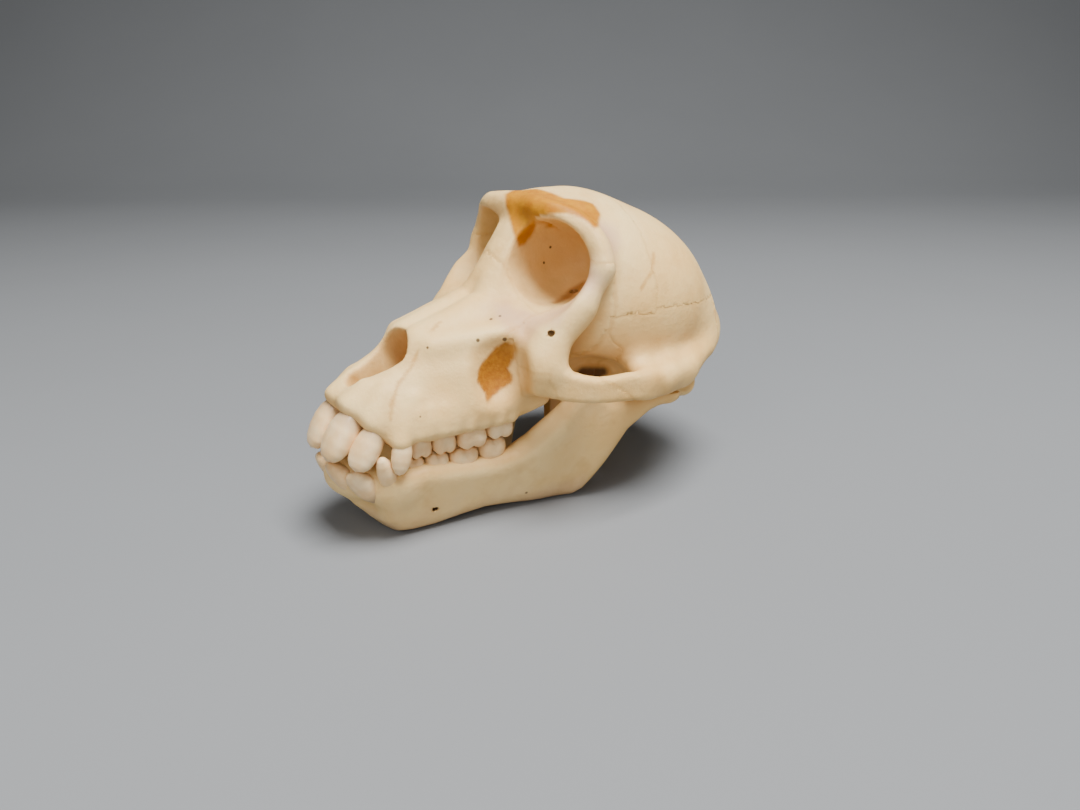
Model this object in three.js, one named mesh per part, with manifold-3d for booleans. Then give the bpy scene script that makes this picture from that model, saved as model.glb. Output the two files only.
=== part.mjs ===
// A young baboon's skull, life size, resting on its lower jaw with the teeth closed.
// Millimetres, +Z up, face toward -Y, the animal's left side on +X, floor at z = 0.
import * as THREE from 'three';
import { mergeVertices } from 'three/addons/utils/BufferGeometryUtils.js';
import Module from 'manifold-3d';

const wasm = await Module();
wasm.setup();

// Driving sizes
const SUTURE_GAP = 0.3;
const JAW_CLEARANCE = 0.9;
const BRAINCASE = { c: [0, 18.7, 56], r: [34.3, 39.2, 29.3], pitch: -19 };
const FOREHEAD = { c: [0, 7, 67.2], r: [25, 19.5, 21.4] };
const OCCIPUT = { c: [0, 41, 45], r: [28, 18, 19] };
const WALL = 2.7;
const BASE_LEVEL = 29;
const ORBIT = { c: [17.3, -10.4, 71.6], width: 12.2, height: 11.6, depth: 24, wall: 4.6 };
const NOSE_TOP = [0, -45.8, 54.9];
const NOSE_SLOPE = Math.atan2(0.69, 0.72);
const FORAMEN_RADIUS = 7;
const OCCLUSAL_LEVEL = 23.9;

// Unit axes of the left orbit: outward, sideways and upward
const orbitN = new THREE.Vector3(0.42, -0.9, 0.12).normalize();
const orbitU = new THREE.Vector3(0.9, 0.42, 0.1).addScaledVector(
  orbitN, -new THREE.Vector3(0.9, 0.42, 0.1).dot(orbitN)).normalize();
const orbitV = new THREE.Vector3().crossVectors(orbitU, orbitN).multiplyScalar(-1);
if (orbitV.z < 0) orbitV.negate();

// Distance functions: negative inside, positive outside
const clamp = THREE.MathUtils.clamp;
const smoothstep = (a, b, x) => THREE.MathUtils.smoothstep(x, a, b);
function blend(a, b, k) {
  const h = clamp(0.5 + 0.5 * (b - a) / k, 0, 1);
  return b * (1 - h) + a * h - k * h * (1 - h);
}
function carve(a, b, k) {
  return -blend(-a, -b, k);
}
function ellipsoid(x, y, z, r) {
  const k0 = Math.hypot(x / r[0], y / r[1], z / r[2]);
  const k1 = Math.hypot(x / r[0] ** 2, y / r[1] ** 2, z / r[2] ** 2) + 1e-9;
  return k0 * (k0 - 1) / k1;
}
function pitched(x, y, z, e) {
  const a = THREE.MathUtils.degToRad(e.pitch || 0);
  const dy = y - e.c[1];
  const dz = z - e.c[2];
  const ry = Math.cos(a) * dy + Math.sin(a) * dz;
  const rz = -Math.sin(a) * dy + Math.cos(a) * dz;
  return ellipsoid(x - e.c[0], ry, rz, e.r);
}
function rod(x, y, z, a, b) {
  const dx = b[0] - a[0];
  const dy = b[1] - a[1];
  const dz = b[2] - a[2];
  const along = (x - a[0]) * dx + (y - a[1]) * dy + (z - a[2]) * dz;
  const t = clamp(along / (dx * dx + dy * dy + dz * dz), 0, 1);
  const gap = Math.hypot(x - a[0] - t * dx, y - a[1] - t * dy, z - a[2] - t * dz);
  return gap - (a[3] + (b[3] - a[3]) * t);
}
function chain(x, y, z, stations) {
  let f = Infinity;
  for (let i = 1; i < stations.length; i++) f = Math.min(f, rod(x, y, z, stations[i - 1], stations[i]));
  return f;
}
function strap(x, y, z, stations, edge) {
  let f = Infinity;
  for (let i = 1; i < stations.length; i++) {
    const a = stations[i - 1];
    const b = stations[i];
    const dx = b[0] - a[0];
    const dy = b[1] - a[1];
    const t = clamp(((x - a[0]) * dx + (y - a[1]) * dy) / (dx * dx + dy * dy), 0, 1);
    const mid = a.map((v, j) => v + t * (b[j] - v));
    const u = Math.hypot(x - mid[0], y - mid[1]) - (mid[4] - edge);
    const v = Math.abs(z - mid[2]) - (mid[3] - edge);
    const outer = Math.hypot(Math.max(u, 0), Math.max(v, 0));
    f = Math.min(f, Math.min(Math.max(u, v), 0) + outer - edge);
  }
  return f;
}
function outline(y, z, corners) {
  let d = Infinity;
  let s = 1;
  for (let i = 0; i < corners.length; i++) {
    const a = corners[i];
    const b = corners[(i + corners.length - 1) % corners.length];
    const ey = b[0] - a[0];
    const ez = b[1] - a[1];
    const wy = y - a[0];
    const wz = z - a[1];
    const t = clamp((wy * ey + wz * ez) / (ey * ey + ez * ez), 0, 1);
    d = Math.min(d, Math.hypot(wy - ey * t, wz - ez * t));
    const c1 = z >= a[1];
    const c2 = z < b[1];
    const c3 = ey * wz > ez * wy;
    if ((c1 && c2 && c3) || (!c1 && !c2 && !c3)) s = -s;
  }
  return s * d;
}

// Chains of the cranium: points x, y, z and radius, for the left side
const CREST = [[37, 16, 39, 2.6], [34, 28, 40, 3], [28, 41, 41.5, 2.5], [18, 53, 45, 2.5]];
const PTERYGOID = [[9, 6, 41, 4], [9.5, -6, 37.5, 2.6], [12, -15, 35, 4]];
const BROW = [[0, -4.6, 85, 3.5], [9, -7, 85.2, 3.2], [18.5, -6, 83, 3.1], [25, -2.6, 79.6, 2.9],
  [28.9, -1.6, 76, 2.7], [30.7, -2, 71.6, 2.5]];
const RIM = [[30.7, -2, 71.6, 2.5], [30.4, -4.8, 66.8, 2.5], [28.5, -9.5, 61, 3.2], [23, -14.5, 58, 3],
  [14, -18, 58.5, 3]];
const BRIDGE = [[0, -4.4, 82, 2.8], [0, -7.4, 77.5, 3.1], [0, -12.3, 72, 3.7], [0, -16.8, 66, 4.4]];
const DORSUM = [[1.2, -13.5, 70, 3.8], [4, -22, 58.5, 5.6], [4, -31.5, 54.8, 5.8], [3.5, -43, 51.2, 5.8]];
const SOCKETS = [[17.5, -15, 37, 5.5], [16, -30, 35, 6], [13, -48, 34, 6.3], [9.5, -58.5, 34.5, 6.2],
  [3.5, -63.5, 36.8, 6]];
const CHEEK = [[28.5, -9.5, 61, 3.4], [28, -16, 53.5, 4.3], [28.2, -19.5, 46, 4], [28.2, -20.2, 43.5, 3]];
// Arch of the cheek: x, y, middle height, half height, half thickness
const ARCH = [[28.5, -20, 45.5, 5.2, 2.6], [32.5, -15.8, 42.5, 4.3, 2.4], [36.5, -8, 40.6, 3.6, 2.2],
  [38, 2, 39.9, 4, 2.2], [37.7, 10, 38.3, 4, 2.2], [36, 18, 37.6, 3.6, 2.6], [33, 26, 38.5, 3.5, 4]];

function orbitCavity(x, y, z, grow) {
  const dx = x - ORBIT.c[0];
  const dy = y - ORBIT.c[1];
  const dz = z - ORBIT.c[2];
  const n = dx * orbitN.x + dy * orbitN.y + dz * orbitN.z;
  const flare = 1 + Math.max(n, 0) * 0.02;
  const u = (dx * orbitU.x + dy * orbitU.y + dz * orbitU.z) / flare;
  const v = (dx * orbitV.x + dy * orbitV.y + dz * orbitV.z) / flare;
  const e = ellipsoid(u, v, Math.min(n, 0), [ORBIT.width + grow, ORBIT.height + grow, ORBIT.depth + grow]);
  return [e, u, v, n];
}
// Wall round the eye socket, cut off at its rim, further back at the upper inner corner
function orbitCup(x, y, z) {
  const [cup, u, v, n] = orbitCavity(x, y, z, ORBIT.wall);
  const backSet = 0.055 * Math.max(-u, 0) * Math.max(v + 2, 0);
  return carve(cup, n + 1.5 + backSet, 2);
}
function noseOpening(x, y, z) {
  const dy = y - NOSE_TOP[1];
  const dz = z - NOSE_TOP[2];
  const s = -dy * Math.cos(NOSE_SLOPE) - dz * Math.sin(NOSE_SLOPE);
  const n = -dy * Math.sin(NOSE_SLOPE) + dz * Math.cos(NOSE_SLOPE);
  const t = clamp((s - 7) / 10.5, 0, 1);
  const pear = Math.hypot(x, s - 7 - t * 10.5) - (7.2 - t * 4);
  return carve(pear, -(n + 14), 4);
}
function baseLevel(y) {
  return BASE_LEVEL + clamp((10 - y) * 0.22, -2.5, 9);
}
function socketLevel(y) {
  const rear = clamp(y + 38, 0, 40) ** 2 * 0.0085;
  return 28 + rear + clamp(-59.5 - y, 0, 10) * 0.85;
}
function cranium(side, y, z) {
  const x = Math.hypot(side, 1);
  let f = pitched(x, y, z, BRAINCASE);
  f = blend(f, pitched(x, y, z, FOREHEAD), 8);
  f = blend(f, pitched(x, y, z, OCCIPUT), 6);
  f = carve(f, baseLevel(y) - z, 5);
  f = blend(f, rod(x, y, z, [29.5, 27, 37, 5.5], [26.5, 33.5, 31.5, 4.3]), 6);
  f = blend(f, chain(x, y, z, CREST), 6);
  f = blend(f, rod(x, y, z, [0, 30, 34, 8], [0, -4, 40, 8]), 6);
  f = blend(f, chain(x, y, z, PTERYGOID), 4);
  f = blend(f, rod(x, y, z, [7, 35, 30, 3.6], [8.5, 41, 31.5, 3.2]), 3);
  f = blend(f, orbitCup(x, y, z), 4);
  f = blend(f, rod(x, y, z, [0, 0, 83.5, 4.6], [14, 1, 82.2, 4.2]), 5);
  f = blend(f, chain(x, y, z, BROW), 4);
  f = blend(f, chain(x, y, z, RIM), 3);
  f = blend(f, chain(x, y, z, BRIDGE), 3.5);
  f = blend(f, chain(x, y, z, DORSUM), 4);
  f = blend(f, rod(x, y, z, [11.5, -21, 50, 9.5], [6, -54, 39.5, 7.5]), 7);
  f = blend(f, rod(x, y, z, [14, -18, 44, 8], [13.5, -32, 41, 7.5]), 7);
  f = blend(f, chain(x, y, z, SOCKETS), 6);
  f = blend(f, rod(x, y, z, [0, -25, 38, 9], [0, -57, 36.5, 6.5]), 6);
  f = blend(f, chain(x, y, z, CHEEK), 7);
  f = blend(f, rod(x, y, z, [17, -18, 46, 6.5], [26.5, -19.5, 48, 4.4]), 7);
  f = blend(f, strap(x, y, z, ARCH, 1.6), 3);
  f = blend(f, rod(x, y, z, [36, 17, 40, 2.4], [29, 20, 42.5, 4.5]), 5);
  f = blend(f, rod(x, y, z, [36.5, 9, 39.8, 2.2], [28.5, 12, 43, 4.6]), 5);
  f = carve(f, -ellipsoid(x - 23.8, y + 30.5, z - 46.5, [5.8, 6.5, 8.5]), 4);
  if (y < -6) f = carve(f, socketLevel(y) - z, 1.5);
  f = carve(f, -ellipsoid(x, y + 34, z - 26.5, [9.5, 29, 8.5]), 3);
  f = carve(f, -orbitCavity(x, y, z, 0)[0], 1.2);
  f = carve(f, -noseOpening(x, y, z), 1);
  f = carve(f, -ellipsoid(x - 34, y - 31.5, z - 33, [5, 5, 4]), 2);
  return f;
}

// Side outline of the lower jaw: y, z
const JAW_OUTLINE = [[-61, 21], [-62, 14], [-60, 5], [-56, 0.4], [-52, -0.7], [-45, -0.7], [-38, 0.4],
  [-30, 1.2], [-22, 0.6], [-12, -0.8], [-2.2, -0.8], [0.8, 1.8], [3.4, 6], [6.5, 11.3], [9.2, 16.5],
  [11.8, 21.5], [17, 27], [24, 31], [24, 35], [18.5, 36], [13, 32.5], [7, 33], [2.5, 38], [-1.5, 44],
  [-4.5, 44], [-9.5, 37], [-14, 30], [-18.5, 24.5], [-23, 21], [-30, 19.7], [-40, 20.5], [-50, 22]];
const CHIN = [[0, -66, 19, 5], [0, -60.5, 11.5, 5.2], [0, -54, 5.2, 5.3], [0, -49, 5.6, 5]];
function jawMiddle(y, z) {
  const d = Math.max(y + 30, 0);
  const row = y < -30 ? 0.11 * (y + 30) : 0.16 * d + 0.0045 * d * d;
  const lean = 0.34 - 0.26 * smoothstep(-12, 12, y);
  return 12.3 + row + lean * (z - 10);
}
function jaw(side, y, z) {
  const x = Math.hypot(side, 0.6);
  const thin = 0.6 * smoothstep(24, 40, z) * smoothstep(-25, -5, y);
  const half = 4.7 - 2.2 * smoothstep(-18, 0, y) - thin;
  let f = carve(outline(y, z, JAW_OUTLINE), Math.abs(x - jawMiddle(y, z)) / 1.03 - half, 5.5);
  f = blend(f, chain(x, y, z, CHIN), 5);
  f = blend(f, chain(x, y, z, [[0, -66, 18.5, 5], [6.5, -63.5, 17.8, 4.8], [10.5, -56, 16, 4.8]]), 4);
  f = blend(f, rod(x, y, z, [27, 21.5, 33, 2.8], [34, 21, 33, 2.8]), 2);
  return carve(f, JAW_CLEARANCE - cranium(side, y, z), 0.6);
}

// Closed surface of a distance function in a box, one vertex for each cell that it crosses
function surfaceOf(field, box, cell) {
  const n = [0, 1, 2].map((i) => Math.ceil((box[i + 3] - box[i]) / cell) + 6);
  const start = [0, 1, 2].map((i) => (box[i] + box[i + 3]) / 2 - (n[i] - 1) * cell / 2);
  const inBox = (x, y, z) => Math.max(box[0] - x, x - box[3], box[1] - y, y - box[4], box[2] - z, z - box[5]);
  const shape = (x, y, z) => Math.max(field(x, y, z), inBox(x, y, z));
  const at = (i, j, k) => (i * n[1] + j) * n[2] + k;
  const values = new Float64Array(n[0] * n[1] * n[2]);
  for (let i = 0; i < n[0]; i++) {
    for (let j = 0; j < n[1]; j++) {
      for (let k = 0; k < n[2]; k++) {
        const v = shape(start[0] + i * cell, start[1] + j * cell, start[2] + k * cell);
        const border = i === 0 || j === 0 || k === 0 || i === n[0] - 1 || j === n[1] - 1 || k === n[2] - 1;
        values[at(i, j, k)] = border ? Math.max(v, cell) : v;
      }
    }
  }
  const corner = [0, 1, 2, 3, 4, 5, 6, 7].map((c) => [c >> 2, (c >> 1) & 1, c & 1]);
  const cornerIndex = (i, j, k) => corner.map((c) => at(i + c[0], j + c[1], k + c[2]));
  fillDoubtfulCells(values, n, cornerIndex);
  const vertexOf = new Int32Array(values.length).fill(-1);
  const positions = [];
  for (let i = 0; i < n[0] - 1; i++) {
    for (let j = 0; j < n[1] - 1; j++) {
      for (let k = 0; k < n[2] - 1; k++) {
        const f = cornerIndex(i, j, k).map((c) => values[c]);
        const sum = [0, 0, 0];
        let count = 0;
        for (let a = 0; a < 8; a++) {
          for (const bit of [4, 2, 1]) {
            const b = a | bit;
            if (b === a || (f[a] < 0) === (f[b] < 0)) continue;
            const t = f[a] / (f[a] - f[b]);
            for (let m = 0; m < 3; m++) sum[m] += corner[a][m] + t * (corner[b][m] - corner[a][m]);
            count++;
          }
        }
        if (count === 0) continue;
        vertexOf[at(i, j, k)] = positions.length / 3;
        const p = [i, j, k].map((v, m) => start[m] + cell * (v + sum[m] / count));
        positions.push(...settled(shape, p, cell));
      }
    }
  }
  const index = [];
  const step = [[1, 0, 0], [0, 1, 0], [0, 0, 1]];
  for (let i = 1; i < n[0] - 1; i++) {
    for (let j = 1; j < n[1] - 1; j++) {
      for (let k = 1; k < n[2] - 1; k++) {
        for (let m = 0; m < 3; m++) {
          const inside = values[at(i, j, k)] < 0;
          if (inside === values[at(i + step[m][0], j + step[m][1], k + step[m][2])] < 0) continue;
          const p = step[(m + 1) % 3];
          const q = step[(m + 2) % 3];
          const ring = [[0, 0], [1, 0], [1, 1], [0, 1]].map(([a, b]) => vertexOf[at(
            i - a * p[0] - b * q[0], j - a * p[1] - b * q[1], k - a * p[2] - b * q[2])]);
          if (!inside) ring.reverse();
          index.push(ring[0], ring[1], ring[2], ring[0], ring[2], ring[3]);
        }
      }
    }
  }
  const geometry = new THREE.BufferGeometry();
  geometry.setAttribute('position', new THREE.BufferAttribute(new Float32Array(positions), 3));
  geometry.setIndex(index);
  return geometry;
}

// Fills a corner wherever the inside or the outside of a cell falls apart in two
function fillDoubtfulCells(values, n, cornerIndex) {
  let changed = true;
  while (changed) {
    changed = false;
    for (let i = 0; i < n[0] - 1; i++) {
      for (let j = 0; j < n[1] - 1; j++) {
        for (let k = 0; k < n[2] - 1; k++) {
          const ids = cornerIndex(i, j, k);
          const inside = ids.map((c) => values[c] < 0);
          if (oneGroup(inside, true) && oneGroup(inside, false)) continue;
          let best = -1;
          for (let c = 0; c < 8; c++) {
            if (!inside[c] && (best < 0 || values[ids[c]] < values[ids[best]])) best = c;
          }
          values[ids[best]] = -0.01;
          changed = true;
        }
      }
    }
  }
}
function oneGroup(inside, want) {
  const members = [0, 1, 2, 3, 4, 5, 6, 7].filter((c) => inside[c] === want);
  if (members.length < 2) return true;
  const seen = new Set([members[0]]);
  const queue = [members[0]];
  while (queue.length) {
    const c = queue.pop();
    for (const bit of [1, 2, 4]) {
      const d = c ^ bit;
      if (inside[d] === want && !seen.has(d)) {
        seen.add(d);
        queue.push(d);
      }
    }
  }
  return seen.size === members.length;
}
// Moves a point onto the surface along the slope of the distance function
function settled(shape, p, cell) {
  const h = 0.05;
  for (let pass = 0; pass < 2; pass++) {
    const f = shape(...p);
    const g = [0, 1, 2].map((m) => {
      const a = p.slice();
      const b = p.slice();
      a[m] += h;
      b[m] -= h;
      return (shape(...a) - shape(...b)) / (2 * h);
    });
    const size = Math.max(g[0] ** 2 + g[1] ** 2 + g[2] ** 2, 0.1);
    const move = clamp(f / size, -cell * 0.3, cell * 0.3);
    for (let m = 0; m < 3; m++) p[m] -= g[m] * move;
  }
  return p;
}

// Joining and cutting
function solid(geometry, shared = false) {
  const bare = new THREE.BufferGeometry();
  bare.setAttribute('position', geometry.getAttribute('position'));
  if (geometry.index) bare.setIndex(geometry.index);
  const merged = shared ? bare : mergeVertices(bare, 1e-5);
  return new wasm.Manifold(new wasm.Mesh({
    numProp: 3,
    vertProperties: new Float32Array(merged.getAttribute('position').array),
    triVerts: new Uint32Array(merged.index.array),
  }));
}
function toGeometry(body) {
  const mesh = body.getMesh();
  const geometry = new THREE.BufferGeometry();
  geometry.setAttribute('position', new THREE.BufferAttribute(new Float32Array(mesh.vertProperties), 3));
  geometry.setIndex(Array.from(mesh.triVerts));
  geometry.computeVertexNormals();
  return geometry;
}
function largest(body) {
  const pieces = body.decompose();
  return pieces.reduce((a, b) => (b.volume() > a.volume() ? b : a));
}
// All space on one side of a plane: the normal points out of the region
function halfSpace(point, normal, widen) {
  const out = new THREE.Vector3(...normal).normalize();
  const reach = 320;
  const g = new THREE.BoxGeometry(reach, reach, reach);
  g.applyQuaternion(new THREE.Quaternion().setFromUnitVectors(new THREE.Vector3(0, 0, 1), out));
  const middle = new THREE.Vector3(...point).addScaledVector(out, widen - reach / 2);
  g.translate(middle.x, middle.y, middle.z);
  return solid(g);
}
function region(convexParts, widen) {
  const parts = convexParts.map((planes) => planes
    .map(([point, normal]) => halfSpace(point, normal, widen))
    .reduce((a, b) => a.intersect(b)));
  return parts.reduce((a, b) => a.add(b));
}
const mirrored = (convexParts) => convexParts.map((planes) => planes.map(([p, n]) => [
  [-p[0], p[1], p[2]], [-n[0], n[1], n[2]]]));

// Hollow of the braincase, kept clear of the orbits, open below through the foramen magnum
function brainHollow() {
  const r = BRAINCASE.r.map((v) => v - WALL);
  const g = new THREE.SphereGeometry(1, 28, 18);
  g.scale(...r);
  g.rotateX(THREE.MathUtils.degToRad(BRAINCASE.pitch));
  g.translate(...BRAINCASE.c);
  let hollow = solid(g).intersect(halfSpace([0, 0, BASE_LEVEL + 4.2], [0, -0.1, -1], 0));
  for (const s of [1, -1]) {
    const cup = new THREE.SphereGeometry(1, 20, 12);
    const grow = ORBIT.wall + 0.6;
    cup.scale(ORBIT.width + grow, ORBIT.height + grow, ORBIT.depth + grow);
    const axes = new THREE.Matrix4().makeBasis(orbitU, orbitV, orbitU.clone().cross(orbitV));
    cup.applyMatrix4(axes);
    cup.translate(...ORBIT.c);
    if (s < 0) {
      cup.scale(-1, 1, 1);
      const flipped = Array.from(cup.index.array);
      for (let i = 0; i < flipped.length; i += 3) {
        flipped.splice(i, 3, flipped[i], flipped[i + 2], flipped[i + 1]);
      }
      cup.setIndex(flipped);
    }
    hollow = hollow.subtract(solid(cup));
  }
  const foramen = new THREE.CylinderGeometry(FORAMEN_RADIUS, FORAMEN_RADIUS, 26, 20);
  foramen.rotateX(Math.PI / 2 + 0.25);
  foramen.translate(0, 43, 30);
  return largest(hollow.add(solid(foramen)));
}

// A tooth: rings of half widths and half depths from the root at s = 0 to the tip at s = 1
const SHAPES = {
  incisor: { wide: [0.5, 0.82, 1, 0.84], deep: [0.55, 1, 0.84, 0.42], cusp: 0 },
  canine: { wide: [0.6, 1, 0.85, 0.34], deep: [0.6, 1, 0.85, 0.34], cusp: 0 },
  molar: { wide: [0.68, 0.92, 1, 0.78], deep: [0.68, 0.92, 1, 0.72], cusp: 0.45 },
};
const RING_AT = [0, 0.4, 0.78, 0.97];
const AROUND = 8;
function tooth(kind, at, axis, along, wide, deep, tall) {
  const shape = SHAPES[kind];
  const up = new THREE.Vector3(...axis).normalize();
  const w = new THREE.Vector3(...along).addScaledVector(up, -new THREE.Vector3(...along).dot(up)).normalize();
  const d = new THREE.Vector3().crossVectors(up, w);
  const tip = new THREE.Vector3(...at);
  const positions = [];
  const put = (s, a, b) => {
    const p = tip.clone().addScaledVector(up, (s - 1) * tall).addScaledVector(w, a).addScaledVector(d, b);
    positions.push(p.x, p.y, p.z);
  };
  put(-0.04, 0, 0);
  RING_AT.forEach((s, i) => {
    for (let k = 0; k < AROUND; k++) {
      const t = 2 * Math.PI * k / AROUND;
      const c = Math.cos(t);
      const e = Math.sin(t);
      const square = (Math.abs(c) ** 3 + Math.abs(e) ** 3) ** (-1 / 3);
      const rise = shape.cusp * Math.cos(4 * t + Math.PI) * (i === RING_AT.length - 1 ? 1 : 0) / tall;
      put(s + rise, wide / 2 * shape.wide[i] * c * square, deep / 2 * shape.deep[i] * e * square);
    }
  });
  put(1 - shape.cusp * 1.6 / tall, 0, 0);
  const index = [];
  const last = positions.length / 3 - 1;
  for (let k = 0; k < AROUND; k++) {
    const next = (k + 1) % AROUND;
    index.push(0, 1 + next, 1 + k);
    for (let i = 0; i < RING_AT.length - 1; i++) {
      const a = 1 + i * AROUND;
      const b = a + AROUND;
      index.push(a + k, a + next, b + next, a + k, b + next, b + k);
    }
    const top = 1 + (RING_AT.length - 1) * AROUND;
    index.push(top + k, top + next, last);
  }
  const geometry = new THREE.BufferGeometry();
  geometry.setAttribute('position', new THREE.BufferAttribute(new Float32Array(positions), 3));
  geometry.setIndex(index);
  return geometry;
}
const biteLevel = (y) => OCCLUSAL_LEVEL + Math.max(y + 36, 0) * 0.14;
// Tooth rows of the left side: kind, tip x, y, z, lean of the axis, row direction, width, depth, height
const UPPER = [
  ['incisor', [5.4, -73.2, 25.8], [0.02, -0.85, -1], [1, 0.12, 0], 10, 7.4, 15.5],
  ['incisor', [12.6, -68.4, 24.2], [0.14, -0.78, -1], [0.72, 0.7, 0], 7.6, 6.8, 14.5],
  ['canine', [17.3, -58.3, 22], [0.1, -0.25, -1], [0.35, 0.9, 0], 5.4, 5, 13],
];
const LOWER = [
  ['incisor', [3.8, -72.2, 24.1], [0.02, -0.85, 1], [1, 0.1, 0], 7.2, 6.2, 14],
  ['incisor', [10, -68.8, 22.7], [0.1, -0.82, 1], [0.75, 0.66, 0], 7, 6, 14],
  ['canine', [15, -62.2, 27.4], [0.2, -0.36, 1], [0.5, 0.85, 0], 5, 4.8, 16],
];
// Cheek teeth: middle y, length, breadth, and x of the row
const UPPER_CHEEK = [[-50.4, 6.4, 5.6, 14.2], [-43.7, 6.7, 6.4, 15.2], [-35.8, 8.8, 7.6, 16.3],
  [-27.3, 8, 7.4, 17.2]];
const LOWER_CHEEK = [[-51.8, 6.2, 4.8, 12.9], [-45.2, 6.8, 5.4, 13.8], [-37.4, 8.6, 6.2, 14.8],
  [-28.8, 8.2, 6.4, 15.9]];
function toothRow(front, cheek, up) {
  const rows = [...front];
  for (const [y, length, breadth, x] of cheek) {
    const z = biteLevel(y) - up * 0.25;
    rows.push(['molar', [x, y, z], [up > 0 ? 0.16 : 0.04, 0, up], [0.13, 1, 0], length, breadth, 12]);
  }
  const bodies = [];
  for (const s of [1, -1]) {
    for (const [kind, at, axis, along, wide, deep, tall] of rows) {
      const flip = (v) => [s * v[0], v[1], v[2]];
      bodies.push(solid(tooth(kind, flip(at), flip(axis), flip(along), wide, deep, tall)));
    }
  }
  return bodies.reduce((a, b) => a.add(b));
}

// Regions of the bones, taken one after another; what is left goes on to the next
const cheekSide = [
  [[[20, -16, 58], [-1, 0, -0.2]], [[0, 0, 73.5], [0, 0, 1]], [[33.2, 0, 0], [1, 0, 0]],
    [new THREE.Vector3(...ORBIT.c).addScaledVector(orbitN, -7).toArray(), orbitN.toArray().map((v) => -v)]],
  [[[33, 0, 0], [-1, 0, 0]], [[0, -1, 39.4], [0, 0.62, 0.78]]],
];
const parietalSide = [[[[0.15, 0, 0], [-1, 0, 0]], [[0, 8, 60], [0, -0.1, -1]],
  [[0, 46, 67], [0, 0.8, 0.6]]]];
const temporalSide = [[[[0.15, 0, 0], [-1, 0, 0]]]];
const BONES = [
  { name: 'cheekbone_left', cell: 2.9, box: [18, -27, 34, 44, 12, 80], cut: cheekSide },
  { name: 'cheekbone_right', cell: 2.9, box: [-44, -27, 34, -18, 12, 80], cut: mirrored(cheekSide) },
  { name: 'muzzle', cell: 3.3, box: [-32, -76, 24, 32, -4, 80], cut: [[[[0, -13, 51], [0, 0.977, 0.212]]]] },
  { name: 'frontal', cell: 3.6, box: [-38, -22, 54, 38, 24, 96],
    cut: [[[[0, 17, 80], [0, 1, -0.1]], [[0, 0, 58], [0, 0, -1]]]] },
  { name: 'sphenoid', cell: 3.8, box: [-32, -20, 26, 32, 10, 64],
    cut: [[[[0, 6, 0], [0, 1, 0]], [[30, 0, 0], [1, 0, 0]], [[-30, 0, 0], [-1, 0, 0]]]] },
  { name: 'parietal_left', cell: 5.4, box: [-4, 0, 48, 42, 66, 96], cut: parietalSide },
  { name: 'parietal_right', cell: 5.4, box: [-42, 0, 48, 4, 66, 96], cut: mirrored(parietalSide) },
  { name: 'occipital', cell: 4.8, box: [-36, 2, 20, 36, 68, 86],
    cut: [[[[0, 46, 67], [0, -0.8, -0.6]], [[0, 0, 55], [0, 0, -1]]],
      [[[0, 47.5, 0], [0, -1, 0]], [[0, 0, 60], [0, 0, 1]]],
      [[[13, 0, 0], [1, 0, 0]], [[-13, 0, 0], [-1, 0, 0]], [[0, 0, 45], [0, 0, 1]]]] },
  { name: 'temporal_left', cell: 3.0, box: [4, -12, 20, 46, 62, 66], cut: temporalSide },
  { name: 'temporal_right', cell: 3.0, box: [-46, -12, 20, -4, 62, 66], cut: mirrored(temporalSide) },
];

const hollow = brainHollow();
const bodies = new Map();
let taken = null;
for (const bone of BONES) {
  let body = solid(surfaceOf(cranium, bone.box, bone.cell), true).subtract(hollow);
  body = body.intersect(region(bone.cut, 0));
  if (taken) body = body.subtract(taken);
  bodies.set(bone.name, largest(body));
  const wide = region(bone.cut, SUTURE_GAP);
  taken = taken ? taken.add(wide) : wide;
}
bodies.set('muzzle', largest(bodies.get('muzzle').add(toothRow(UPPER, UPPER_CHEEK, -1))));
const jawSurface = surfaceOf(jaw, [-42, -76, -4, 42, 30, 50], 3.5);
const jawBody = solid(jawSurface, true).add(toothRow(LOWER, LOWER_CHEEK, 1));
bodies.set('mandible', largest(jawBody.intersect(halfSpace([0, 0, 0], [0, 0, -1], 0))));

// Colours of dry bone, and the model set over the middle of its own footprint
const COLOURS = { muzzle: 0xe2d3b4, mandible: 0xdccaa6, frontal: 0xe6d3a8, sphenoid: 0xcdb78e };
const group = new THREE.Group();
const footprint = new THREE.Box3();
for (const [name, body] of bodies) {
  const material = new THREE.MeshStandardMaterial({
    color: COLOURS[name] || 0xe3d6ba, roughness: 0.5, metalness: 0 });
  const mesh = new THREE.Mesh(toGeometry(body), material);
  mesh.name = name;
  mesh.geometry.computeBoundingBox();
  footprint.union(mesh.geometry.boundingBox);
  group.add(mesh);
}
const middle = footprint.getCenter(new THREE.Vector3());
for (const mesh of group.children) mesh.geometry.translate(-middle.x, -middle.y, -footprint.min.z);
group.name = 'baboon_skull';
export default group;
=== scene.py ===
"""A young baboon's skull with its lower jaw, lit on a pale floor and seen as in the photograph.

Shapes are worked out in millimetres in the skull's own frame (face toward -Y, left side +X,
floor at z = 0) and set into the shared frame in metres by place().
"""

import bpy
import numpy as np
from mathutils import Matrix


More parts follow.
